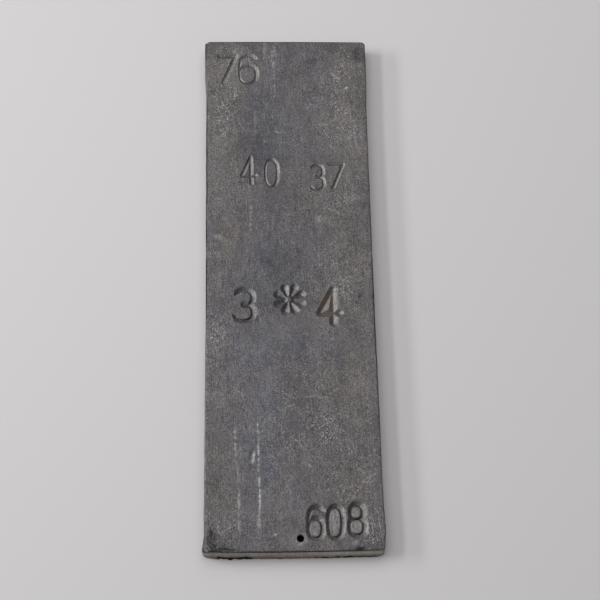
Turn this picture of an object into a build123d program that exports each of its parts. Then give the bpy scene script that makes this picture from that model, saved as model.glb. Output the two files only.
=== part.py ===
"""A one-pound lead bar, cut from rolled lead plate, struck with number punches and drilled once.

The plate is slit into a strip, and the strip is sheared to length. Both cuts lean the same way, as a
guillotine leaves them: the near end slopes out towards its foot, and the far end is undercut. The marks
are flat-bottomed here, and as wide as the real punch marks are at half their depth.

Frame: +X across the bar, +Y along it towards the far end, +Z up through the plate. The origin is the
middle of the underside. Millimetres.
"""

import math
import os

from build123d import *

# The strip: rolled lead plate, 2 inches by 3/16 inch, cut off at 6 1/2 inches.
width = 50.8
thickness = 4.76
length = 165.1

# The sheared ends. The blade carries the foot of each cut this far towards the near end, and the
# ends aren't dead straight: each stands out at its middle by its bow.
shear_lean = 1.1
near_end_bow = 0.3
far_end_bow = 0.1

# The slit long edges. Soft lead swells where it is struck beside an edge, and the left foot was flared
# by the shear. A swell is how far the edge stands out, a peak is where it stands out most, and a run
# is where it has died away, both measured from the nearer end. Between them each edge is a little
# hollow, most of all at one place, which is measured from the near end.
near_left_flare = 0.55
near_left_flare_run = 5.5
near_right_swell = 0.33
near_right_swell_peak = 6.5
near_right_swell_run = 17.0
left_hollow = 0.15
right_hollow = 0.1
hollow_place = 75.0
far_left_swell = 0.45
far_left_swell_peak = 9.0
far_left_swell_run = 19.0
far_right_swell = 0.38
far_right_swell_peak = 12.0
far_right_swell_run = 27.0
slit_lean = 0.15

# The four upright corners, and the worn arrises round the upper and the lower face.
near_left_radius = 0.9
near_right_radius = 1.0
far_right_radius = 1.3
far_left_cut_across = 1.3
far_left_cut_along = 0.75
upper_arris = 0.45
lower_arris = 0.25

# The drilled hole: blind, with the cone that a twist drill leaves and a lightly broken edge.
hole_diameter = 2.0
hole_depth = 3.2
hole_from_near_end = 3.4
hole_from_axis = 1.7
drill_point_angle = 118.0
hole_edge_break = 0.12

# The struck marks, in four rows. A row is as far as this from one end to the foot of its figures.
light_blow_depth = 0.4
hard_blow_depth = 0.7
light_stroke = 0.8
hard_stroke = 1.1
head_row_from_far_end = 15.2
second_row_from_far_end = 52.0
third_row_from_near_end = 69.6
foot_row_from_near_end = 4.9
first_figure_from_left_edge = 6.3
petal_count = 8
petal_length = 3.0
petal_breadth = 1.7
petal_from_middle = 2.75


def slit_edge(side, spread, shift, stations):
    """One long edge from the near end to the far end, as smooth curves that run straight at each station.

    side is -1 on the left and +1 on the right, and each station is (distance from the near end, swell).
    Three poles in line at each end of a curve make it meet the next with no sudden change of bend.
    """
    poles_in_line = 3
    last_pole = 2 * poles_in_line - 1
    curves = []
    for (start, start_swell), (finish, finish_swell) in zip(stations, stations[1:]):
        poles = []
        for pole in range(last_pole + 1):
            swell = start_swell if pole < poles_in_line else finish_swell
            place = start + (finish - start) * pole / last_pole
            poles.append((side * (width / 2 + spread + swell), place - length / 2 + shift))
        curves.append(Bezier(*poles))
    return Wire(curves)

def left_edge(spread, shift):
    """The left edge: flared at the foot, a little hollow, and swollen beside the marks at the head."""
    stations = [
        (0, near_left_flare),
        (near_left_flare_run, 0),
        (hollow_place, -left_hollow),
        (length - far_left_swell_run, 0),
        (length - far_left_swell_peak, far_left_swell),
        (length, far_left_swell),
    ]
    return slit_edge(-1, spread, shift, stations)

def right_edge(spread, shift):
    """The right edge: swollen beside the deep marks at the foot and again at the head, hollow between."""
    stations = [
        (0, 0),
        (near_right_swell_peak, near_right_swell),
        (near_right_swell_run, 0),
        (hollow_place, -right_hollow),
        (length - far_right_swell_run, 0),
        (length - far_right_swell_peak, far_right_swell),
        (length, far_right_swell),
    ]
    return slit_edge(1, spread, shift, stations)

def plan(spread, shift):
    """The bar seen from above, with its slit edges spread outwards and its ends shifted along it."""
    left = left_edge(spread, shift)
    right = right_edge(spread, shift)
    near = ThreePointArc(left @ 0, (0, shift - length / 2 - near_end_bow), right @ 0)
    far = ThreePointArc(left @ 1, (0, shift + length / 2 + far_end_bow), right @ 1)
    return make_face(left.edges() + [near] + right.edges() + [far])

def sheared_blank():
    """The strip as it comes off the shear, with sharp corners and arrises."""
    upper = Pos(0, 0, thickness) * plan(0, 0)
    lower = plan(slit_lean, -shear_lean)
    return loft([lower, upper], ruled=True)


def upright_corner(bar, x_side, y_side):
    """The upright edge at the corner on these sides of the bar."""
    uprights = bar.edges().filter_by(lambda edge: abs((edge @ 1 - edge @ 0).Z) > thickness / 2)
    return max(uprights, key=lambda edge: x_side * (edge @ 0.5).X + y_side * (edge @ 0.5).Y)


def cornered(bar):
    """The blank with three corners worn round and the far left one cut across."""
    for x_side, y_side, radius in (
        (-1, -1, near_left_radius),
        (1, -1, near_right_radius),
        (1, 1, far_right_radius),
    ):
        bar = fillet(upright_corner(bar, x_side, y_side), radius)
    far_face = bar.faces().sort_by(Axis.Y)[-1]
    return chamfer(upright_corner(bar, -1, 1), far_left_cut_across, far_left_cut_along, reference=far_face)


def with_worn_arrises(bar):
    """The bar with the edges of its upper and its lower face rounded."""
    bar = fillet(bar.faces().sort_by(Axis.Z)[-1].outer_wire().edges(), upper_arris)
    return fillet(bar.faces().sort_by(Axis.Z)[0].outer_wire().edges(), lower_arris)


def drilled_hole():
    """The drill's own shape: its point, its body and the broken edge, where it stands in the bar."""
    radius = hole_diameter / 2
    point_height = radius / math.tan(math.radians(drill_point_angle / 2))
    mouth = hole_depth + hole_edge_break
    outline = Polyline(
        (0, -point_height),
        (radius, 0),
        (radius, hole_depth - hole_edge_break),
        (radius + 2 * hole_edge_break, mouth),
        (0, mouth),
        close=True,
    )
    drill = revolve(Plane.XZ * make_face(outline), Axis.Z)
    place = (hole_from_axis, hole_from_near_end - length / 2, thickness - hole_depth)
    return Pos(*place) * drill


def sector(centre, start, finish, reach):
    """The wedge round a centre from a start angle to a greater finish angle, less than a half turn."""
    corners = [centre]
    for angle in (start, (start + finish) / 2, finish):
        turn = math.radians(angle)
        corners.append((centre[0] + reach * math.cos(turn), centre[1] + reach * math.sin(turn)))
    return make_face(Polyline(*corners, close=True))


def oval_stroke(centre, radii, stroke, start=0, finish=360):
    """A stroke round part of an oval, from a start angle to a greater finish angle."""
    outer = Ellipse(radii[0] + stroke / 2, radii[1] + stroke / 2)
    inner = Ellipse(radii[0] - stroke / 2, radii[1] - stroke / 2)
    ring = Pos(*centre) * (outer - inner)
    reach = 4 * max(radii)
    if finish - start == 360:
        return ring
    if finish - start < 180:
        return ring & sector(centre, start, finish, reach)
    return ring - sector(centre, finish, start + 360, reach)


def straight_stroke(stroke, *places):
    """A stroke along straight runs from place to place, cut square at both ends and mitred between."""
    points = [Vector(*place) for place in places]
    runs = [(after - before).normalized() for before, after in zip(points, points[1:])]
    sides = [Vector(-run.Y, run.X) * (stroke / 2) for run in runs]
    mitres = [sides[0]]
    for side, next_side in zip(sides, sides[1:]):
        bisector = (side + next_side).normalized()
        mitres.append(bisector * (stroke**2 / 4 / bisector.dot(side)))
    mitres.append(sides[-1])
    one_side = [point + mitre for point, mitre in zip(points, mitres)]
    other_side = [point - mitre for point, mitre in zip(points, mitres)]
    return make_face(Polyline(*one_side, *reversed(other_side), close=True))


def figure(digit, height, breadth, stroke):
    """The outline of a plain numeral that stands on the line through its own origin."""
    half = breadth / 2
    end = stroke / 2
    if digit == 0:
        parts = [oval_stroke((0, height / 2), (half, height / 2), stroke)]
    elif digit == 3:
        parts = [
            oval_stroke((0, 0.76 * height), (0.95 * half, 0.24 * height), stroke, -90, 150),
            oval_stroke((0, 0.26 * height), (half, 0.26 * height), stroke, -155, 90),
        ]
    elif digit == 4:
        stem = 0.4 * half
        bar_level = 0.3 * height
        parts = [
            straight_stroke(stroke, (stem, -end), (stem, height + end)),
            straight_stroke(stroke, (stem, height), (-half, bar_level), (half + end, bar_level)),
        ]
    elif digit == 6:
        parts = [
            oval_stroke((0, 0.31 * height), (half, 0.31 * height), stroke),
            oval_stroke((0, height / 2), (half, height / 2), stroke, 50, 190),
        ]
    elif digit == 7:
        parts = [straight_stroke(stroke, (-half - end, height), (half, height), (-0.4 * half, -end))]
    else:
        parts = [
            oval_stroke((0, 0.77 * height), (0.85 * half, 0.23 * height), stroke),
            oval_stroke((0, 0.27 * height), (half, 0.27 * height), stroke),
        ]
    outline = parts[0]
    for part in parts[1:]:
        outline = outline + part
    return outline


def rosette():
    """A plain ring of petals round its own origin."""
    petal = Pos(petal_from_middle, 0) * Ellipse(petal_length / 2, petal_breadth / 2)
    turns = [360 * (number + 0.5) / petal_count for number in range(petal_count)]
    return [Rot(0, 0, turn) * petal for turn in turns]


def struck_marks(near, far, left):
    """What the punches press out of the upper face, between the bar's own ends and from its left edge."""
    head, second = far - head_row_from_far_end, far - second_row_from_far_end
    third, foot = near + third_row_from_near_end, near + foot_row_from_near_end
    first = left + first_figure_from_left_edge
    light = [
        Pos(first, head) * figure(7, 9.6, 4.8, light_stroke),
        Pos(first + 6.9, head) * figure(6, 9.6, 5.0, light_stroke),
        Pos(-12.4, second) * figure(4, 9.0, 4.4, light_stroke),
        Pos(-5.2, second) * figure(0, 9.0, 3.6, light_stroke),
        Pos(9.1, second - 1.0) * figure(3, 8.2, 3.7, light_stroke),
        Pos(14.9, second - 0.8) * figure(7, 8.1, 4.6, light_stroke),
    ]
    hard = [
        Pos(-13.9, third + 0.6) * figure(3, 9.2, 5.2, hard_stroke),
        Pos(11.6, third - 0.5) * figure(4, 10.4, 5.6, hard_stroke),
        Pos(5.9, foot) * figure(6, 8.3, 3.6, hard_stroke),
        Pos(11.6, foot) * figure(0, 8.4, 3.7, hard_stroke),
        Pos(17.6, foot + 0.7) * figure(8, 8.2, 3.8, hard_stroke),
    ]
    hard += [Pos(-0.3, third + 7.1) * petal for petal in rosette()]
    marks = [extrude(outline, amount=-light_blow_depth) for outline in light]
    marks += [extrude(outline, amount=-hard_blow_depth) for outline in hard]
    return [Pos(0, 0, thickness) * mark for mark in marks]


def lead_bar():
    """The whole bar, with its underside centred on the origin."""
    bar = with_worn_arrises(cornered(sheared_blank())) - drilled_hole()
    box = bar.bounding_box()
    bar = Pos(-box.center().X, -box.center().Y, -box.min.Z) * bar
    near, far = -box.size.Y / 2, box.size.Y / 2
    for mark in struck_marks(near, far, -width / 2):
        bar = bar - mark
    return bar


os.makedirs("parts", exist_ok=True)
export_step(lead_bar(), "parts/lead_bar.step")
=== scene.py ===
import math

import bmesh
import bpy
import numpy as np
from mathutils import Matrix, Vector, noise


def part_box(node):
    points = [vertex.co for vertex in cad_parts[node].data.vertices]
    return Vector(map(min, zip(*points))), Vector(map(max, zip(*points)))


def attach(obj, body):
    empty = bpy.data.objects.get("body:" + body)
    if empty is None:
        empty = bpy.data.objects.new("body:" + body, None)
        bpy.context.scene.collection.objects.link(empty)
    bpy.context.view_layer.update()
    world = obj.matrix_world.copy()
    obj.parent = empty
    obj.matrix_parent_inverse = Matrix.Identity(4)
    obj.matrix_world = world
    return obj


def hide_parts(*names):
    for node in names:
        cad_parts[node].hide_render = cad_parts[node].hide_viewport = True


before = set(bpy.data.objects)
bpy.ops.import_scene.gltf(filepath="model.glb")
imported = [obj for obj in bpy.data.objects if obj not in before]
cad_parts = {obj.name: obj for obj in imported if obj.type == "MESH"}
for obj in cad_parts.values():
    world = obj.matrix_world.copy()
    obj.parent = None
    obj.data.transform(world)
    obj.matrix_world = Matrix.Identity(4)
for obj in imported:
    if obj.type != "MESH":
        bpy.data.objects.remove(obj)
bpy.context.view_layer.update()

# The bar is a strip of rolled lead plate, slit along its edges and sheared to length by a guillotine.
# The skin starts as the plain bar before it was struck, cut into cells small enough to be dented as soft
# lead is, and its underside stays one flat face. Sizes are in millimetres, which MM turns to metres.
MM = 0.001
CELL = 0.8
SAME_PLACE = 0.001
SAME_PLANE = 0.0005
DOWNWARD = -0.999
ABOVE, UNDERSIDE = 0, 1

low, high = (np.array(corner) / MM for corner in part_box("lead_bar"))
face_level = high[2]

skin = bmesh.new()
skin.from_mesh(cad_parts["lead_bar"].data)
bmesh.ops.remove_doubles(skin, verts=skin.verts, dist=SAME_PLACE * MM)


def joined_to(first):
    """Every face that can be reached from a first one across shared edges."""
    found, waiting = {first}, [first]
    while waiting:
        for edge in waiting.pop().edges:
            fresh = [face for face in edge.link_faces if face not in found]
            found.update(fresh)
            waiting.extend(fresh)
    return found


# The flat-bottomed marks of the solid are closed again here, because the blows below press in deeper and
# rounder ones. A mark is what hangs below the upper face by less than MARK_DEPTH, once that face is gone.
MARK_DEPTH = 1.5
on_top = (face_level - SAME_PLACE) * MM
flat_top = [face for face in skin.faces if face.calc_center_median().z > on_top]
bmesh.ops.delete(skin, geom=flat_top, context="FACES")
left_over = set(skin.faces)
in_marks = set()
while left_over:
    island = joined_to(next(iter(left_over)))
    left_over -= island
    if min(vert.co.z for face in island for vert in face.verts) > (face_level - MARK_DEPTH) * MM:
        in_marks |= island
bmesh.ops.delete(skin, geom=[face for face in skin.faces if face in in_marks], context="FACES")
rims = [edge for edge in skin.edges if edge.is_boundary]
bmesh.ops.triangle_fill(skin, edges=rims, use_beauty=True, normal=(0, 0, 1))

under = [face for face in skin.faces if face.normal.z < DOWNWARD]
bmesh.ops.dissolve_faces(skin, faces=under)
for face in skin.faces:
    face.material_index = UNDERSIDE if face.normal.z < DOWNWARD else ABOVE
for edge in skin.edges:
    edge.seam = len(edge.link_faces) == 2 and edge.calc_face_angle() < SAME_PLANE


def cut_into_cells(axis, size):
    """Cuts the skin above the underside with planes that stand size apart along an axis."""
    count = round((high[axis] - low[axis]) / size)
    for number in range(1, count):
        across = Vector((0, 0, 0))
        across[axis] = 1
        place = across * (low[axis] + (high[axis] - low[axis]) * number / count) * MM
        faces = [face for face in skin.faces if face.material_index == ABOVE]
        parts = skin.verts[:] + skin.edges[:] + faces
        near = 0.5 * SAME_PLACE * MM
        bmesh.ops.bisect_plane(skin, geom=parts, dist=near, plane_co=place, plane_no=across)


for axis in (0, 1, 2):
    cut_into_cells(axis, CELL)
flat_seams = [edge for edge in skin.edges if edge.seam]
bmesh.ops.dissolve_edges(skin, edges=flat_seams, use_verts=True)

# The figures are struck with steel hand punches, one blow each, so no two sit alike. A punch has a deep
# counter with steep walls and long outer flanks, and a blow that isn't square leans the whole mark over.
# The figures are plain numbers, and the ornament between two of them is a plain rosette.
SQUARENESS = 0.8
ARC_STEP = 12


def oval(centre, size, start=0, finish=360):
    """Points along part of a squarish oval, between two angles in degrees, and the oval's centre."""
    angles = np.radians(np.linspace(start, finish, 1 + round(abs(finish - start) / ARC_STEP)))
    across = np.sign(np.cos(angles)) * abs(np.cos(angles)) ** SQUARENESS
    along = np.sign(np.sin(angles)) * abs(np.sin(angles)) ** SQUARENESS
    ridge = np.column_stack([centre[0] + size[0] * across, centre[1] + size[1] * along])
    return ridge, np.array(centre)


def line(*places):
    """Straight strokes from place to place, which have no centre."""
    return np.array(places, float), None


# Each figure stands on the line through (0, 0) and is one unit high. A stroke is its ridge line, with the
# centre that its steep side faces, if it has one.
ZERO = [oval((0, 0.5), (0.26, 0.5))]
THREE = [oval((-0.02, 0.76), (0.25, 0.24), 150, -90), oval((-0.02, 0.26), (0.28, 0.26), 90, -155)]
FOUR = [line((0.12, 0), (0.12, 1), (-0.28, 0.3), (0.3, 0.3))]
SIX = [oval((0, 0.31), (0.26, 0.31)), oval((0.02, 0.55), (0.28, 0.45), 50, 180)]
SEVEN = [line((-0.27, 1), (0.27, 1), (-0.1, 0))]
EIGHT = [oval((0, 0.77), (0.22, 0.23)), oval((0, 0.27), (0.27, 0.27))]
PETALS = 8
PETAL_FOOT, PETAL_TIP = 0.14, 0.38
ROSETTE_CENTRE = (0, 0.5)
ROSETTE = []
for petal in range(PETALS):
    turn = math.tau * (petal + 0.5) / PETALS
    outward = np.array([math.cos(turn), math.sin(turn)])
    ROSETTE.append(line(ROSETTE_CENTRE + PETAL_FOOT * outward, ROSETTE_CENTRE + PETAL_TIP * outward))

# Lead gives in the same way under every blow. STEEP is the width of a wall where the punch is steep, MOUTH
# how softly a mark runs into the face, and CUPPED how hollow its flanks are. Its lip is LIP high and stands
# LIP_PLACE flanks out. The dirt and painted shade along its bottom are SEAT_WIDTH wide.
STEEP = 0.3
MOUTH = 0.05
CUPPED = 1.2
LIP = 0.05
LIP_PLACE = 1.2
LIP_SPREAD = 0.25
SEAT_WIDTH = 0.15

# The skin is cut finer up to REACH from the ridge line of a blow. A score or a dent needs less, so the gap
# to one of those starts part of the way. With no mark near, the gap is FAR.
REACH = 1.6
GAP_AT_SCORE = 1.1
GAP_AT_DENT = 0.5
FAR = 99.0

# The drilled hole is left as it is. Its radius here takes in the points of its rim.
HOLE_PLACE = (1.7, -78.5)
HOLE_RADIUS = 1.02
HOLE_FLOOR = 0.6


def ramp(values, start, finish):
    """0 up to start and 1 from finish on, with an even slope between them."""
    return np.clip((values - start) / (finish - start), 0, 1)


class Dents:
    """What blows and wear have pressed into the upper face at a set of points, in millimetres."""

    def __init__(self, points):
        self.points = points
        self.depth = np.zeros(len(points))
        self.lip = np.zeros(len(points))
        self.dirt_and_shade = np.zeros(len(points))
        self.shine = np.zeros(len(points))
        self.flank_highlight = np.zeros(len(points))
        self.stain = np.zeros(len(points))
        self.rubbed = np.zeros(len(points))
        self.tarnish = np.zeros(len(points))
        self.gap = np.full(len(points), FAR)

    def strike(
        self, strokes, place, height, deep, flank, wide=1, turn=0, lean=(0, 0), slope=(0, 0), pear=0
    ):
        """One blow of a punch, with its foot at a place. Lean lengthens the flanks on a side, slope deepens
        the mark on a side, and pear narrows its strokes in the middle and widens them at their tips."""
        angle = math.radians(turn)
        spin = np.array([[math.cos(angle), math.sin(angle)], [-math.sin(angle), math.cos(angle)]])
        scale = np.array([height * wide, height])
        middle = np.array([0, height / 2]) @ spin + place
        close = np.hypot(*(self.points - middle).T) < height * 0.75 + 3
        points = self.points[close]

        # Inside a closed stroke lies the punch's counter, where every wall is steep.
        in_counter = np.zeros(len(points), bool)
        for ridge, centre in strokes:
            if centre is not None and np.allclose(ridge[0], ridge[-1]):
                local = (points - place) @ spin.T / scale - centre
                size = ridge.max(0) - centre
                in_counter |= (abs(local / size) ** (2 / SQUARENESS)).sum(1) < 1

        # The mark is deepest along its strokes, and rises from them across flanks of some width.
        ratio = np.full(len(points), FAR)
        depth = np.zeros(len(points))
        from_ridge = np.full(len(points), FAR)
        for ridge, centre in strokes:
            track = (ridge * scale) @ spin + place
            hub = None if centre is None else (centre * scale) @ spin + place
            for start, finish in zip(track[:-1], track[1:]):
                along = finish - start
                share = np.clip((points - start) @ along / (along @ along), 0, 1)
                nearest = start + share[:, None] * along
                away = points - nearest
                distance = np.hypot(*away.T)
                leaning = 1 + away @ np.array(lean) / np.maximum(distance, 1e-6)
                width = flank * np.clip(leaning, 0.15, 3)
                if pear:
                    tip = PETAL_TIP * height
                    width = width * (1 - pear + 2 * pear * np.hypot(*(nearest - middle).T) / tip)
                if hub is not None:
                    facing_hub = (away * (nearest - hub)).sum(1) < 0
                    width = np.where(facing_hub, STEEP * np.clip(leaning, 0.5, 2), width)
                width = np.where(in_counter, np.minimum(width, STEEP * 1.3), width)
                here = deep * np.clip(1 + (nearest - middle) @ np.array(slope) / height, 0.05, 2)
                fall = 1 - (distance / width) ** CUPPED
                depth = np.maximum(depth, here * 0.5 * (fall + np.sqrt(fall * fall + MOUTH * MOUTH)))
                ratio = np.minimum(ratio, distance / width)
                from_ridge = np.minimum(from_ridge, distance)

        # Light blows get a painted highlight on their flanks, which shows only where a flank faces left,
        # and deep ones a painted highlight in their counters. Dirt and painted shade lie along the ridge
        # line.
        raised = LIP * np.exp(-(((ratio - LIP_PLACE) / LIP_SPREAD) ** 2)) * ~in_counter
        ridge_line = np.exp(-((from_ridge / SEAT_WIDTH) ** 2)) * min(0.6, deep)
        flank_highlight_here = (ratio < LIP_PLACE) * (0.7 - 0.6 * deep)
        counter_highlight = in_counter * np.clip(0.9 * deep - 0.3, 0, 1) * ramp(from_ridge, 0.3, 0.9)
        self.depth[close] = np.maximum(self.depth[close], depth)
        self.lip[close] = np.maximum(self.lip[close], raised)
        self.dirt_and_shade[close] = np.maximum(self.dirt_and_shade[close], ridge_line)
        self.flank_highlight[close] = np.maximum(self.flank_highlight[close], flank_highlight_here)
        self.shine[close] = np.maximum(self.shine[close], counter_highlight)
        self.gap[close] = np.minimum(self.gap[close], from_ridge)

    def scratch(self, places, wide, deep, shine, dirt=0):
        """A score or a rub along a track. It is beaded where it skips, and fades towards its ends."""
        places = np.array(places, float)
        count = len(places) - 1
        for number, (start, finish) in enumerate(zip(places[:-1], places[1:])):
            along = finish - start
            share = np.clip((self.points - start) @ along / (along @ along), 0, 1)
            distance = np.hypot(*(self.points - start - share[:, None] * along).T)
            fading = np.sin(math.pi * (0.1 + 0.8 * (share + number) / count))
            groove = np.exp(-((distance / wide) ** 2)) * fading
            close = groove > 0.02
            run = share[close] * np.hypot(*along)
            skips = [noise.noise(Vector((step / 0.9, step / 2.3, start[0]))) for step in run]
            bared = groove.copy()
            bared[close] *= np.clip(0.6 + 1.5 * np.array(skips), 0.05, 1)
            self.depth = np.maximum(self.depth, deep * groove)
            self.shine = np.maximum(self.shine, shine * bared)
            self.dirt_and_shade = np.maximum(self.dirt_and_shade, dirt * groove)
            self.gap = np.minimum(self.gap, distance + GAP_AT_SCORE)

    def oval_patch(self, place, size, turn):
        """1 in the middle of a soft oval patch, and nothing well outside it."""
        angle = math.radians(turn)
        spin = np.array([[math.cos(angle), -math.sin(angle)], [math.sin(angle), math.cos(angle)]])
        local = (self.points - place) @ spin / size
        return np.exp(-(local * local).sum(1))

    def dent(self, place, size, deep, turn=0, shine=0, dirt_and_shade=0):
        """A soft oval dent, which bares bright metal or is left dark."""
        hollow = self.oval_patch(place, size, turn)
        self.depth = np.maximum(self.depth, deep * hollow)
        self.shine = np.maximum(self.shine, shine * hollow)
        self.dirt_and_shade = np.maximum(self.dirt_and_shade, dirt_and_shade * hollow)
        distance = np.hypot(*(self.points - place).T)
        self.gap = np.minimum(self.gap, distance - max(size) + GAP_AT_DENT)

    def darken(self, place, size, turn=0, strength=1):
        """A dark patch in the skin, with no dent."""
        self.stain = np.maximum(self.stain, strength * self.oval_patch(place, size, turn))

    def rub(self, place, size, turn=0, strength=1):
        """A patch where handling has scratched and speckled the skin."""
        self.rubbed = np.maximum(self.rubbed, strength * self.oval_patch(place, size, turn))

    def bare(self, place, size, turn=0, strength=1):
        """A patch where the skin is thinner and so paler, with no dent."""
        self.shine = np.maximum(self.shine, strength * self.oval_patch(place, size, turn))

    def tint(self, place, size, turn=0, strength=1):
        """A patch of browner tarnish, or with a negative strength of bluer tarnish."""
        self.tarnish += strength * self.oval_patch(place, size, turn)


def work_the_face(dents):
    """Every blow, score, dent and patch on the upper face, each kind from the far end to the near one."""
    # A blow has a place, a height, a depth and a flank's width.
    dents.strike(SEVEN, (-19.1, 68.0), 9.6, 0.42, 0.85, turn=-2, lean=(0.3, 0), slope=(0.2, 0.3))
    dents.strike(SIX, (-12.2, 67.8), 9.7, 0.42, 0.85, turn=1, lean=(0.5, 0.2), slope=(0.4, 0.3))
    dents.strike(FOUR, (-12.4, 31.9), 9.2, 0.36, 0.65, wide=0.8, turn=1, lean=(0.5, 0.1), slope=(0, 0.4))
    dents.strike(ZERO, (-5.2, 31.2), 9.0, 0.38, 0.65, wide=0.76, lean=(0.6, 0.1), slope=(0.2, 0))
    dents.strike(THREE, (9.1, 30.0), 8.2, 0.38, 0.65, wide=0.85, lean=(0.6, 0.1), slope=(0.2, 0))
    dents.strike(SEVEN, (14.9, 30.4), 8.1, 0.38, 0.65, wide=1.05, turn=-1, lean=(0.1, 0.4))
    dents.strike(THREE, (-13.9, -13.0), 9.2, 0.66, 1.2, turn=-2, lean=(0.25, 0.1))
    dents.strike(ROSETTE, (-0.3, -11.6), 10.2, 0.65, 0.95, lean=(0.2, 0), slope=(0, 0.2), pear=0.4)
    dents.strike(FOUR, (11.6, -14.1), 10.4, 0.7, 1.25, wide=0.95, lean=(0.15, 0))
    dents.strike(SIX, (5.9, -78.3), 8.3, 0.66, 1.15, wide=0.8, turn=-1, lean=(0.2, 0.1), slope=(0, 0.25))
    dents.strike(ZERO, (11.5, -78.3), 8.4, 0.68, 1.15, wide=0.82, turn=-1, lean=(0.2, 0.1), slope=(0, 0.25))
    dents.strike(EIGHT, (17.6, -77.6), 8.2, 0.7, 1.2, wide=0.85, lean=(0.3, 0.1), slope=(0, 0.3))

    # A score has a track, a width, a depth and a shine.
    dents.scratch([(-3.2, 83.0), (-3.3, 77.4)], 0.2, 0.03, 0.8)
    dents.scratch([(-3.9, 82.8), (-3.9, 72.0)], 0.3, 0.03, 0.8)
    dents.scratch([(-4.4, 80.5), (-4.6, 73.5)], 0.2, 0.02, 0.6)
    dents.scratch([(-3.6, 74.0), (-3.7, 62.7)], 0.2, 0.03, 0.8)
    dents.scratch([(-4.7, 66.5), (-4.8, 62.0)], 0.2, 0.02, 0.5)
    dents.scratch([(-6.9, 82.6), (-6.9, 78.0)], 0.25, 0.02, 0.7)
    dents.scratch([(14.2, 72.0), (15.6, 70.4), (17.6, 69.0)], 0.24, 0.04, 1.0)
    dents.scratch([(7.2, 60.9), (7.6, 60.0), (6.6, 58.6)], 0.22, 0.03, 0.9)
    dents.scratch([(-19.4, 56.6), (-18.2, 54.0)], 0.22, 0.03, 0.8)
    dents.scratch([(8.2, 52.6), (10.9, 52.8), (13.2, 52.6)], 0.2, 0.02, 0.8)
    dents.scratch([(-4.4, 50.3), (-2.6, 49.9), (-0.8, 49.8)], 0.18, 0.04, 0.8)
    dents.scratch([(-7.4, 46.8), (-6.2, 46.8)], 0.18, 0.03, 0.6)
    dents.scratch([(21.2, 56.0), (21.6, 46.0)], 0.25, 0.02, 0.4)
    dents.scratch([(-11.6, 31.0), (-11.9, 12.0)], 0.3, 0.01, 0.4)
    dents.scratch([(-13.8, 53.2), (-10.6, 53.1)], 0.15, 0.01, 0.4)
    dents.scratch([(-14.2, 50.5), (-7.8, 50.6)], 0.15, 0.01, 0.35)
    dents.scratch([(20.9, 52.4), (23.7, 52.3)], 0.15, 0.02, 0.5)
    dents.scratch([(-10.1, 58.0), (-10.2, 49.3)], 0.18, 0.01, 0.45)
    dents.scratch([(-7.1, 57.6), (-7.1, 53.7)], 0.15, 0.01, 0.4)
    dents.scratch([(19.8, 53.7), (19.9, 45.9)], 0.15, 0.01, 0.4)
    dents.scratch([(4.8, 48.6), (4.9, 46.4)], 0.2, 0.02, 0.5)
    dents.scratch([(-1.9, -37.4), (6, -37.0), (14.0, -37.5)], 0.2, 0.015, 0.3)
    dents.scratch([(-16.6, -46.5), (-16.4, -54.5)], 0.3, 0.03, 1.1)
    dents.scratch([(-16.0, -57.0), (-15.5, -66), (-15.3, -76.5)], 0.22, 0.03, 0.75)
    dents.scratch([(-10.05, -44.5), (-9.9, -48.5)], 0.3, 0.03, 0.9)
    dents.scratch([(-9.95, -49.0), (-9.8, -60.0)], 0.3, 0.03, 0.95)
    dents.scratch([(-9.85, -58.0), (-9.6, -64.5), (-9.7, -73.0)], 0.3, 0.05, 1.0)
    dents.scratch([(-9.8, -70.0), (-9.9, -77.4)], 0.35, 0.03, 0.7)
    dents.scratch([(14.0, -57.6), (18.6, -58.6), (21.4, -60.4)], 0.2, 0.03, 0.2)
    dents.scratch([(9.1, -57.9), (14.0, -58.2), (19.1, -59.3)], 0.4, 0.06, 0)
    dents.scratch([(3.6, -56.6), (5.8, -58.4)], 0.35, 0.02, 0.5)
    dents.scratch([(-24.9, -80.0), (-23.6, -81.4)], 0.25, 0.05, 1.0)
    dents.scratch([(-25.4, -80.4), (-24.9, -81.4), (-23.9, -82.1)], 0.2, 0.05, 1.0)
    dents.scratch([(-21.6, -81.35), (-19.0, -81.25), (-15.5, -81.7)], 0.22, 0.2, 0, dirt=0.9)
    dents.scratch([(-24.6, -74.5), (-24.9, -79.5)], 0.3, 0.03, 0.6)

    # A dent has a place, a size and a depth. The first is the worn ring round the hole.
    dents.dent(HOLE_PLACE, (1.4, 1.4), 0.02, shine=0.7)
    dents.dent((-4.2, 82.9), (0.5, 0.4), 0.15, shine=0.9)
    dents.dent((-25.4, -81.0), (0.4, 0.9), 0.12, dirt_and_shade=0.7)
    dents.dent((19.2, 66.0), (0.7, 0.35), 0.05, turn=35, shine=0.9)
    dents.dent((6.4, 23.0), (0.5, 0.25), 0.15, turn=-15, dirt_and_shade=0.8)
    dents.dent((9.4, 19.8), (0.9, 1.3), 0.02, turn=40, shine=0.35)
    dents.dent((-21.6, 14.0), (1.5, 0.8), 0.05, turn=-20, shine=0.4)
    dents.dent((21.4, -5.4), (0.9, 0.6), 0.14, turn=30, dirt_and_shade=0.5)
    dents.dent((20.4, -7.6), (0.8, 0.5), 0.12, turn=-20, dirt_and_shade=0.4)
    dents.dent((-11.4, -54.9), (0.4, 1.5), 0.16, turn=-14, shine=1.0)
    dents.dent((-12.0, -54.2), (0.22, 1.3), 0.1, turn=-14, dirt_and_shade=0.6)
    dents.dent((18.6, -81.8), (1.5, 0.65), 0.5, dirt_and_shade=1.0)
    dents.dent((17.0, -79.9), (0.9, 0.4), 0.04, turn=20, shine=0.7)
    dents.dent((-5.4, -77.3), (0.8, 0.4), 0.03, turn=30, shine=0.6)

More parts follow.
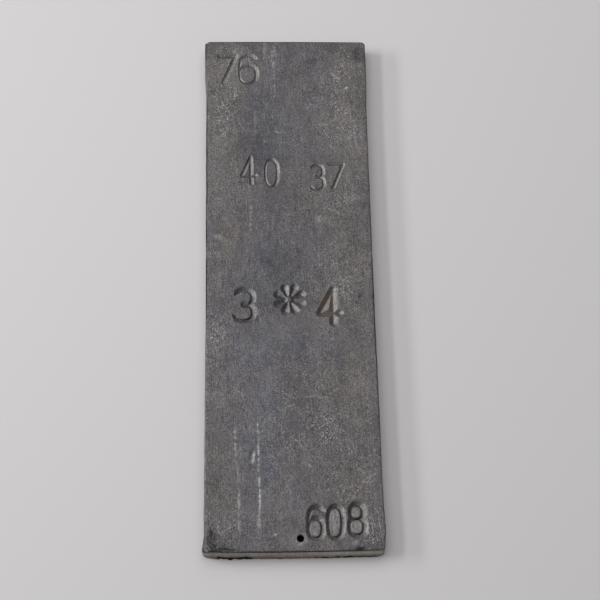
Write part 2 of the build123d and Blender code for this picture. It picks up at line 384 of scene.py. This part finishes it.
    # A patch has a place and a size.
    dents.darken((23.4, 78.2), (2.2, 2.5), strength=1.3)
    dents.darken((9.0, 75.5), (2.4, 2.0), strength=0.5)
    dents.darken((-23.8, -78.6), (1.8, 3.0), turn=8, strength=4.8)
    dents.darken((-22.4, -81.4), (3.4, 1.3), strength=2)
    dents.darken((-20.0, -80.0), (6.0, 1.6), strength=0.5)
    dents.darken((14.0, -58.6), (5.0, 1.2), turn=-4, strength=0.5)
    dents.darken((21.4, -6.2), (2.6, 3.0), strength=0.4)
    dents.darken((-9.0, 47.0), (8.0, 13.0), strength=0.65)
    dents.darken((-5.0, 12.0), (6.0, 30.0), strength=0.25)
    dents.darken((-23.5, 22.0), (1.5, 40.0), strength=0.25)
    dents.rub((17.0, 60.0), (7.0, 16.0))
    dents.rub((20.0, 73.5), (5.0, 5.0), strength=1.1)
    dents.rub((-16.0, 75.0), (9.0, 6.0), strength=0.8)
    dents.rub((12.0, 28.0), (9.0, 8.0), strength=0.7)
    dents.rub((16.5, 0.0), (8.0, 9.0), strength=0.8)
    dents.rub((-22.0, -20.0), (3.0, 9.0))
    dents.rub((-22.5, 9.5), (2.0, 2.5))
    dents.rub((-18.5, 58.0), (6.0, 14.0), strength=0.9)
    dents.rub((-20.5, 34.0), (4.0, 16.0), strength=0.5)
    dents.rub((8.0, -46.0), (13.0, 16.0), strength=0.8)
    dents.rub((20.5, -70.0), (4.0, 14.0), strength=1.2)
    dents.rub((13.0, -68.5), (8.0, 4.0), strength=0.8)
    dents.rub((-19.0, -74.0), (6.0, 6.0), strength=0.7)
    dents.bare((-17.0, 71.5), (9.0, 6.0), strength=0.11)
    dents.bare((20.0, 70.5), (5.0, 5.0), strength=0.1)
    dents.bare((-22.0, 50.0), (4.0, 18.0), strength=0.06)
    dents.tint((-17.0, 72.0), (8.0, 8.0), strength=0.5)
    for place, size in (
        ((-19.0, 42.0), (4.5, 28.0)),
        ((-18.0, 15.0), (4.0, 12.0)),
        ((18.5, 50.0), (6.0, 30.0)),
        ((16.0, 11.0), (6.0, 8.0)),
        ((20.5, -30.0), (4.0, 8.0)),
        ((13.6, -36.0), (6.0, 9.0)),
        ((17.5, -65.0), (4.0, 8.0)),
        ((-20.0, -60.0), (5.0, 16.0)),
    ):
        dents.tint(place, size, strength=0.7)
    for place, size in (
        ((-9.0, 42.0), (5.0, 24.0)),
        ((-4.0, 6.0), (8.0, 20.0)),
        ((-8.0, -52.0), (7.0, 22.0)),
        ((23.8, -48.0), (2.2, 22.0)),
        ((23.5, 76.0), (3.0, 5.0)),
        ((-24.0, 12.0), (1.6, 14.0)),
        ((0.0, -22.0), (14.0, 6.0)),
    ):
        dents.tint(place, size, strength=-0.7)
    dents.tint((11.6, -9.0), (3.2, 5.0), strength=2.6)


def middles_of_faces():
    """The middle of every face of the skin."""
    return np.array([face.calc_center_median()[:] for face in skin.faces]) / MM


def gaps_to_marks(places):
    """How far each place is from the nearest mark, where it lies in the upper face."""
    dents = Dents(places[:, :2])
    work_the_face(dents)
    return np.where(places[:, 2] > face_level - 0.2, dents.gap, FAR)


def refine(chosen, cuts):
    """Cuts the chosen four-sided faces of the skin into smaller ones, in the same order each time."""
    around = set()
    for face, wanted in zip(skin.faces, chosen):
        if wanted and len(face.verts) == 4:
            around.update(face.edges)
    edges = [edge for edge in skin.edges if edge in around]
    bmesh.ops.subdivide_edges(skin, edges=edges, cuts=cuts, use_grid_fill=True)


# The torn face of the near end is cut finer, and the skin near the marks is cut finer still.
TORN_ZONE = 1.5
middles = middles_of_faces()
refine(middles[:, 1] - low[1] < TORN_ZONE, 2)
middles = middles_of_faces()
beyond_tear = middles[:, 1] - low[1] >= TORN_ZONE
refine((gaps_to_marks(middles) < REACH) & beyond_tear, 4)
many_sided = [face for face in skin.faces if len(face.verts) > 4 and face.material_index == ABOVE]
bmesh.ops.triangulate(skin, faces=many_sided)

bar_mesh = bpy.data.meshes.new("struck_bar")
skin.to_mesh(bar_mesh)
skin.free()

# The blows go into the upper face. Besides them the plate has slight waves, its slit edges wander and are
# nicked, and the near end is torn as a guillotine tears lead: a dragged arris above, a ragged burr below.
points = np.empty(len(bar_mesh.vertices) * 3)
bar_mesh.vertices.foreach_get("co", points)
points = points.reshape(-1, 3) / MM
rest = points.copy()
along_x, along_y, height = rest.T
ENDLESS = 99


def waves(size, seed):
    """Smooth noise between about -1 and 1 at every point, with waves of a size along x, y and z."""
    shift = Vector((seed * 17.3, seed * 5.1, seed * 9.7))
    return np.array([noise.noise(Vector(place) + shift) for place in rest / np.array(size)])


PLATE_WAVE, PLATE_RIPPLE = 0.03, 0.012
on_face = ramp(height, face_level - 0.6, face_level)
from_hole = np.hypot(along_x - HOLE_PLACE[0], along_y - HOLE_PLACE[1])
in_hole = (from_hole < HOLE_RADIUS) & (height > HOLE_FLOOR)
upper = on_face * ~in_hole
dents = Dents(rest[:, :2])
work_the_face(dents)
points[:, 2] += (dents.lip - dents.depth) * upper
points[:, 2] += (PLATE_WAVE * waves((14, 14, 14), 1) + PLATE_RIPPLE * waves((3, 3, 3), 2)) * upper

# The two slit edges.
EDGE_WANDER, EDGE_RIPPLE, NICK_DEPTH = 0.09, 0.05, 0.4
near_edge = ramp(abs(along_x), 24.2, 25.4) * (height > 0.1)
wander = EDGE_WANDER * waves((ENDLESS, 6, ENDLESS), 3) + EDGE_RIPPLE * waves((ENDLESS, 1.6, 3), 4)
points[:, 0] += wander * near_edge
nicks = np.clip(waves((6, 1.3, ENDLESS), 5) - 0.25, 0, 1)
side_arrises = ramp(abs(along_x), 24.6, 25.2) * ramp(height, face_level - 0.8, face_level - 0.3)
points[:, 2] -= NICK_DEPTH * nicks * side_arrises

# The near end, which leans out by END_LEAN between its two arrises.
END_LEAN = 1.1
TEAR_LINES, TEAR_SWELLS = 0.05, 0.12
BURR, MORE_BURR, DRAG = 0.15, 0.3, 0.16
end_line = low[1] + END_LEAN
on_end = ramp(-along_y, -end_line - 0.3, -end_line + 0.2) * ~in_hole
torn = on_end * ramp(-height, -(face_level - 0.3), -(face_level - 0.7))
points[:, 1] += TEAR_LINES * waves((0.5, ENDLESS, 5), 6) * torn
points[:, 1] += TEAR_SWELLS * waves((4, ENDLESS, 2), 7) * torn
heavy_burr = ramp(along_x, low[0] + 3.5, low[0] + 4.5) * ramp(-along_x, 11.5, 12.5)
burr = ramp(-height, -1.2, -0.4) * ramp(height, 0.05, 0.3) * on_end
beads = np.clip(waves((1.3, ENDLESS, 1.2), 8) + 0.25, -0.3, 1)
points[:, 1] -= (BURR + MORE_BURR * heavy_burr) * beads * burr
dragged = on_end * ramp(height, face_level - 0.7, face_level - 0.35)
drops = np.clip(waves((2.5, ENDLESS, ENDLESS), 9) + 0.3, 0, 1)
points[:, 2] -= DRAG * drops * dragged

# Knocks have curled in the foot of both near corners. What lies beyond a line through each place, on the
# side that it turns to, moves in by a share of its way out.
for place, turn, share in (
    ((low[0] + 0.15, low[1] + 2.1), 234.6, 0.45),
    ((high[0] - 0.4, low[1] + 1.2), -65.4, 0.8),
):
    outward = np.array([math.cos(math.radians(turn)), math.sin(math.radians(turn))])
    beyond = np.clip((rest[:, :2] - place) @ outward, 0, None) * ramp(-height, -4.2, -1.5)
    points[:, :2] -= share * beyond[:, None] * outward

# Painted shade fills the foot of the near end up to a ragged height, in the gap under its burr. The dragged
# arris of the near end and parts of the other three arrises are painted dark. Flanks of the blows that face
# left get a painted highlight, as if lit from the left.
SHARP_ANGLE = 50
in_crease = dragged * ramp(-height, -face_level + 0.02, -face_level + 0.12)
ragged = 0.35 + 1.1 * heavy_burr + 0.6 * ramp(along_x, 5, 9) + 0.8 * waves((1.0, ENDLESS, 0.7), 12)
under_burrs = on_end * ramp(ragged - height, 0, 0.3)

bar_mesh.vertices.foreach_set("co", (points * MM).ravel())
bar_mesh.update()
normals = np.empty(len(points) * 3)
bar_mesh.vertices.foreach_get("normal", normals)
across, along, upward = normals.reshape(-1, 3).T
rounded = ramp(upward, 0.1, 0.3) * (height > 3.8)
left_arris = ramp(-across, 0.1, 0.3) * rounded * (along_x < -24.3) * ramp(along_y, -25, -5)
right_arris = ramp(across, 0.1, 0.3) * rounded * (along_x > 24.3) * ramp(-abs(along_y + 15), -35, -20)
far_arris = ramp(along, 0.1, 0.3) * rounded * ramp(along_y, high[1] - 2, high[1] - 1)
patchy = ramp(waves((9, 9, ENDLESS), 13), -0.5, 0)
arrises = np.maximum.reduce([left_arris, 0.7 * right_arris, far_arris]) * patchy
grime_and_shade = np.maximum.reduce([in_crease, under_burrs, 0.95 * arrises])
left_facing_highlight = ramp(-0.93 * across - 0.37 * along, 0.12, 0.4) * dents.flank_highlight * ~in_hole
at_edges = ramp(abs(along_x + 3), 8, 24)
for name, values in (
    ("struck", np.clip(dents.depth, 0, 1) * upper),
    # Dirt and painted shade along the bottoms of the marks, and painted shade all through the drilled hole.
    ("dirt_and_shade", np.where(in_hole, 1, dents.dirt_and_shade * upper)),
    # Bared metal and paler patches, with painted highlights on flanks that face left and in counters.
    ("scuff_and_highlight", np.maximum(dents.shine, left_facing_highlight) * upper),
    ("stain", dents.stain * upper),
    ("rubbed", np.where(on_face > 0.5, 0.3 + dents.rubbed, 0.6)),
    ("tarnish", 0.3 + 0.3 * at_edges + 0.5 * dents.tarnish * upper),
    ("torn", torn),
    # Painted shade under the burr of the near end, and a painted dark crease and arrises.
    ("grime_and_shade", grime_and_shade),
):
    attribute = bar_mesh.attributes.new(name, "FLOAT", "POINT")
    attribute.data.foreach_set("value", values.astype(np.float32))
bar_mesh.shade_smooth()
bar_mesh.set_sharp_from_angle(angle=math.radians(SHARP_ANGLE))
bar = bpy.data.objects.new("struck_bar", bar_mesh)
bpy.context.scene.collection.objects.link(bar)


def linear(code):
    """An sRGB hex colour as the linear colour that a shader takes."""
    parts = [int(code[start : start + 2], 16) / 255 for start in (1, 3, 5)]
    return [part / 12.92 if part <= 0.04045 else ((part + 0.055) / 1.055) ** 2.4 for part in parts] + [1]


def add_node(tree, kind, settings=None, links=None):
    """Adds a node, sets its own settings and its sockets' values, and links its sockets to others."""
    made = tree.nodes.new(kind)
    for name, value in (settings or {}).items():
        if isinstance(name, str) and hasattr(made, name):
            setattr(made, name, value)
        else:
            made.inputs[name].default_value = value
    for name, source in (links or {}).items():
        tree.links.new(source, made.inputs[name])
    return made


# Weathered rolled lead. Its dull oxide skin is bluish in the middle of the strip and warmer at its sides,
# with rolling streaks along it, fine pits, and bright specks and scratches where the skin has worn off.
# The real pits are about 0.1 mm across. They are drawn at 0.3 mm, because finer ones would blur away.
lead = bpy.data.materials.new("weathered_rolled_lead")
lead.use_nodes = True
tree = lead.node_tree
tree.nodes.clear()
on_bar = add_node(tree, "ShaderNodeTexCoord").outputs["Object"]

# Each pattern is noise with grains of a size in millimetres, turned by some degrees, with some octaves of
# detail. What lies between the bottom and the top of the noise is spread from the least to the most.
patterns = {}
for name, size, turn, detail, bottom, top, least, most in (
    ("tone", (16, 24, 16), 0, 3, 0.38, 0.62, 0, 1),
    ("broad", (24, 32, 24), 15, 2, 0.3, 0.7, 0.87, 1.11),
    ("cloud", (5, 7, 5), 0, 3, 0.3, 0.7, 0.85, 1.13),
    ("patch", (1.8, 2.2, 1.8), 0, 3, 0.3, 0.7, 0.9, 1.1),
    ("streak", (0.9, 30, 2), 0, 3, 0.3, 0.7, 0.93, 1.07),
    ("hair lines", (0.3, 3, 0.3), 2, 2, 0.3, 0.7, 0.82, 1.18),
    ("pits", (0.5, 0.5, 0.5), 0, 2, 0.3, 0.7, 0.88, 1.12),
    ("fine pits", (0.27, 0.27, 0.27), 0, 1, 0.3, 0.7, 0.37, 1.63),
    ("worn places", (6, 8, 6), 30, 3, 0.4, 0.62, 0.3, 1),
    ("specks", (0.4, 0.45, 0.4), 0, 1, 0.6, 0.69, 0, 1),
    ("scratches along", (0.22, 6, 2), 4, 1, 0.64, 0.71, 0, 1),
    ("scratches right", (0.22, 4, 2), -52, 1, 0.65, 0.72, 0, 1),
    ("scratches left", (0.22, 3.5, 2), 38, 1, 0.65, 0.72, 0, 1),
    ("breaks", (0.5, 1.1, 0.5), 0, 2, 0.4, 0.58, 0.2, 1),
    ("tears", (0.45, 9, 4), 0, 3, 0.35, 0.65, 0, 1),
    ("gloss", (2.5, 3, 2.5), 0, 3, 0.3, 0.7, 0.42, 0.6),
    ("grainy places", (5, 7, 5), 20, 2, 0.36, 0.64, 0.4, 1),
    ("hues", (5, 9, 5), 10, 2, 0.3, 0.7, -0.45, 0.45),
):
    number = len(patterns)
    settings = {"vector_type": "TEXTURE", "Location": (0.031 * number, 0.047 * number, 0.013 * number)}
    settings["Rotation"] = (0, 0, math.radians(turn))
    settings["Scale"] = [length * MM for length in size]
    turned = add_node(tree, "ShaderNodeMapping", settings, {"Vector": on_bar})
    settings = {"Scale": 1, "Detail": detail, "Roughness": 0.6}
    grains = add_node(tree, "ShaderNodeTexNoise", settings, {"Vector": turned.outputs[0]})
    settings = {"From Min": bottom, "From Max": top, "To Min": least, "To Max": most}
    links = {"Value": grains.outputs["Fac"]}
    patterns[name] = add_node(tree, "ShaderNodeMapRange", settings, links).outputs[0]

# The masks are attributes of the mesh. The skin is worn where it has been rubbed, and more in some places.
masks = {}
for name in ("struck", "dirt_and_shade", "scuff_and_highlight", "stain", "rubbed", "tarnish", "torn", "grime_and_shade"):
    masks[name] = add_node(tree, "ShaderNodeAttribute", {"attribute_name": name}).outputs["Fac"]
links = {0: masks["rubbed"], 1: patterns["worn places"]}
worn = add_node(tree, "ShaderNodeMath", {"operation": "MULTIPLY"}, links).outputs[0]

# The skin: a tone that drifts between bluish and warm grey, with darker and lighter grains over it. The
# fine pits show best in the grainy places.
settings = {"operation": "MULTIPLY", 1: 0.4}
toned = add_node(tree, "ShaderNodeMath", settings, {0: patterns["tone"]}).outputs[0]
links = {0: masks["tarnish"], 1: toned}
warmth = add_node(tree, "ShaderNodeMath", {"operation": "ADD"}, links).outputs[0]
links = {0: warmth, 1: patterns["hues"]}
warmth = add_node(tree, "ShaderNodeMath", {"operation": "ADD"}, links).outputs[0]
settings = {"data_type": "RGBA", "clamp_factor": False, 6: linear("#626166"), 7: linear("#686565")}
skin_tone = add_node(tree, "ShaderNodeMix", settings, {0: warmth}).outputs[2]
links = {0: patterns["grainy places"], 3: patterns["fine pits"]}
strength = add_node(tree, "ShaderNodeMix", {"data_type": "FLOAT", 2: 1}, links).outputs[0]
for name in ("broad", "cloud", "patch", "streak", "hair lines", "pits"):
    links = {0: strength, 1: patterns[name]}
    strength = add_node(tree, "ShaderNodeMath", {"operation": "MULTIPLY"}, links).outputs[0]
links = {0: skin_tone, "Scale": strength}
colour = add_node(tree, "ShaderNodeVectorMath", {"operation": "SCALE"}, links).outputs[0]

# The torn end: clean beige-grey lead above, a browner tear below, and upright drag lines over both. It is
# cleaner towards the right.
split = add_node(tree, "ShaderNodeSeparateXYZ", links={0: on_bar})
settings = {"From Min": 1.2 * MM, "From Max": 2.6 * MM}
rise = add_node(tree, "ShaderNodeMapRange", settings, {"Value": split.outputs["Z"]}).outputs[0]
settings = {"From Min": -8 * MM, "From Max": 12 * MM, "To Min": 1, "To Max": 1.25}
cleaner = add_node(tree, "ShaderNodeMapRange", settings, {"Value": split.outputs["X"]}).outputs[0]
settings = {"data_type": "RGBA", 6: linear("#82786e"), 7: linear("#aca69f")}
end_colour = add_node(tree, "ShaderNodeMix", settings, {0: rise}).outputs[2]
settings = {"operation": "MULTIPLY", 1: 0.5}
half_tears = add_node(tree, "ShaderNodeMath", settings, {0: patterns["tears"]}).outputs[0]
settings = {"data_type": "RGBA", 7: linear("#766f69")}
end_colour = add_node(tree, "ShaderNodeMix", settings, {0: half_tears, 6: end_colour}).outputs[2]
links = {0: end_colour, "Scale": cleaner}
end_colour = add_node(tree, "ShaderNodeVectorMath", {"operation": "SCALE"}, links).outputs[0]

# Each layer lies over the one before: where it lies, what breaks it up, how strong it is, and its colour.
# Brown shows only in the heaviest tarnish.
settings = {"From Min": 0.9, "From Max": 1.4}
browned = add_node(tree, "ShaderNodeMapRange", settings, {"Value": masks["tarnish"]}).outputs[0]
for mask, broken_by, share, over in (
    (patterns["specks"], worn, 0.85, "#c1bcb9"),
    (patterns["scratches along"], worn, 0.7, "#a9a4a2"),
    (patterns["scratches right"], worn, 0.75, "#a9a4a2"),
    (patterns["scratches left"], worn, 0.75, "#a9a4a2"),
    (browned, None, 0.5, "#80726a"),
    (masks["stain"], patterns["breaks"], 0.6, "#343336"),
    (masks["torn"], None, 1, end_colour),
    # This layer darkens the marks with their depth: painted shade and dirt in the hollows.
    (masks["struck"], None, 0.15, "#55545a"),
    # This layer is bright metal where scores and dents wore through the skin, paler patches, and painted
    # highlights on the flanks that face left and in the counters of deep blows.
    (masks["scuff_and_highlight"], patterns["breaks"], 1, "#c6c3be"),
    # This layer is painted shade under the burr of the near end, and painted dark along its crease and the
    # other arrises.
    (masks["grime_and_shade"], None, 0.9, "#161616"),
    # This layer is dirt and painted shade along the bottoms of the marks and in some dents, and painted
    # shade all through the drilled hole.
    (masks["dirt_and_shade"], None, 1, "#272424"),
):
    laid = add_node(tree, "ShaderNodeMath", {"operation": "MULTIPLY", 1: share}, {0: mask}).outputs[0]
    if broken_by is not None:
        links = {0: laid, 1: broken_by}
        laid = add_node(tree, "ShaderNodeMath", {"operation": "MULTIPLY"}, links).outputs[0]
    settings = {"data_type": "RGBA"}
    links = {0: laid, 6: colour}
    if isinstance(over, str):
        settings[7] = linear(over)
    else:
        links[7] = over
    colour = add_node(tree, "ShaderNodeMix", settings, links).outputs[2]

# The pits are hollow, and the painted shade under the burr and the dark crease and arrises are dull.
# Oxide keeps the skin from being wholly metallic.
PIT_DEPTH = 0.1
METAL_SHOWING = 0.85
links = {0: patterns["pits"], 1: patterns["fine pits"]}
relief = add_node(tree, "ShaderNodeMath", {"operation": "ADD"}, links).outputs[0]
links = {0: relief, 1: patterns["patch"]}
relief = add_node(tree, "ShaderNodeMath", {"operation": "ADD"}, links).outputs[0]
settings = {"Strength": 0.6, "Distance": PIT_DEPTH * MM}
bump = add_node(tree, "ShaderNodeBump", settings, {"Height": relief}).outputs[0]
links = {0: patterns["gloss"], 1: masks["grime_and_shade"]}
rough = add_node(tree, "ShaderNodeMath", {"operation": "MAXIMUM"}, links).outputs[0]
links = {"Base Color": colour, "Roughness": rough, "Normal": bump}
shader = add_node(tree, "ShaderNodeBsdfPrincipled", {"Metallic": METAL_SHOWING}, links)
add_node(tree, "ShaderNodeOutputMaterial", links={"Surface": shader.outputs[0]})

bar_mesh.materials.clear()
bar_mesh.materials.append(lead)
bar_mesh.polygons.foreach_set("material_index", [0] * len(bar_mesh.polygons))
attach(bar, "root")
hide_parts("lead_bar")

# The table is a plain pale board under the bar. Far from the bar it is drawn as plain as the air behind it,
# for the camera alone, so that no horizon shows. The sizes of the table and the lamps are in metres.
PALE = "#cfcccd"
TABLE_REACH = 20
PLAIN_FROM, ALL_PLAIN = 0.15, 0.5
table = bmesh.new()
bmesh.ops.create_grid(table, x_segments=1, y_segments=1, size=TABLE_REACH)
floor_mesh = bpy.data.meshes.new("table")
table.to_mesh(floor_mesh)
table.free()
floor = bpy.data.objects.new("table", floor_mesh)
bpy.context.scene.collection.objects.link(floor)
board = bpy.data.materials.new("matt_painted_board")
board.use_nodes = True
board_tree = board.node_tree
board_tree.nodes.clear()
settings = {"Base Color": linear(PALE), "Roughness": 0.6}
painted = add_node(board_tree, "ShaderNodeBsdfPrincipled", settings).outputs[0]
plain = add_node(board_tree, "ShaderNodeEmission", {"Color": linear(PALE), "Strength": 1}).outputs[0]
from_bar = add_node(board_tree, "ShaderNodeTexCoord").outputs["Object"]
far = add_node(board_tree, "ShaderNodeVectorMath", {"operation": "LENGTH"}, {0: from_bar}).outputs["Value"]
settings = {"interpolation_type": "SMOOTHSTEP", "From Min": PLAIN_FROM, "From Max": ALL_PLAIN}
far = add_node(board_tree, "ShaderNodeMapRange", settings, {"Value": far}).outputs[0]
seen = add_node(board_tree, "ShaderNodeLightPath").outputs["Is Camera Ray"]
share = add_node(board_tree, "ShaderNodeMath", {"operation": "MULTIPLY"}, {0: far, 1: seen}).outputs[0]
surface = add_node(board_tree, "ShaderNodeMixShader", links={0: share, 1: painted, 2: plain}).outputs[0]
add_node(board_tree, "ShaderNodeOutputMaterial", links={"Surface": surface})
floor_mesh.materials.append(board)

# A soft box hangs beyond the far end of the bar, and two low strip lights stand well to its left. They give
# the bar the two soft steps of shadow on its right. The rest is even light from a pale room.
ROOM_LIGHT = 0.3
for name, size, place, energy in (
    ("soft box", (0.8, 0.8), (-0.06, 0.25, 0.6), 2.4),
    ("upper strip", (0.5, 0.12), (-0.84, 0.18, 0.68), 3.4),
    ("lower strip", (0.5, 0.12), (-0.99, 0.16, 0.41), 4.9),
):
    panel = bpy.data.lights.new(name, "AREA")
    panel.shape = "RECTANGLE"
    panel.size, panel.size_y = size
    panel.energy = energy
    lamp = bpy.data.objects.new(name, panel)
    lamp.location = place
    lamp.rotation_euler = (-lamp.location).to_track_quat("-Z", "Y").to_euler()
    bpy.context.scene.collection.objects.link(lamp)

room = bpy.data.worlds.new("pale_room")
bpy.context.scene.world = room
room.use_nodes = True
room.node_tree.nodes.clear()
settings = {"Color": linear("#e8e7e8"), "Strength": ROOM_LIGHT}
even = add_node(room.node_tree, "ShaderNodeBackground", settings)
backdrop = add_node(room.node_tree, "ShaderNodeBackground", {"Color": linear(PALE), "Strength": 1})
seen = add_node(room.node_tree, "ShaderNodeLightPath").outputs["Is Camera Ray"]
links = {0: seen, 1: even.outputs[0], 2: backdrop.outputs[0]}
air = add_node(room.node_tree, "ShaderNodeMixShader", links=links)
add_node(room.node_tree, "ShaderNodeOutputWorld", links={"Surface": air.outputs[0]})

# The camera looks down on the bar from beyond its near end, through a phone's long lens. Its place and its
# turn come from a fit to the outline of the bar.
PIXELS = 600
FOCAL_PIXELS = 1335
CAMERA_PLACE = (-13.59, -152.25, 377.01)
CAMERA_TURN = (21.374, -2.100, -1.164)
lens = bpy.data.cameras.new("camera")
lens.sensor_width = 36
lens.lens = lens.sensor_width * FOCAL_PIXELS / PIXELS
lens.clip_start = 0.01
camera = bpy.data.objects.new("camera", lens)
camera.location = [length * MM for length in CAMERA_PLACE]
camera.rotation_euler = [math.radians(angle) for angle in CAMERA_TURN]
bpy.context.scene.collection.objects.link(camera)
bpy.context.scene.camera = camera
bpy.context.scene.view_settings.view_transform = "Standard"
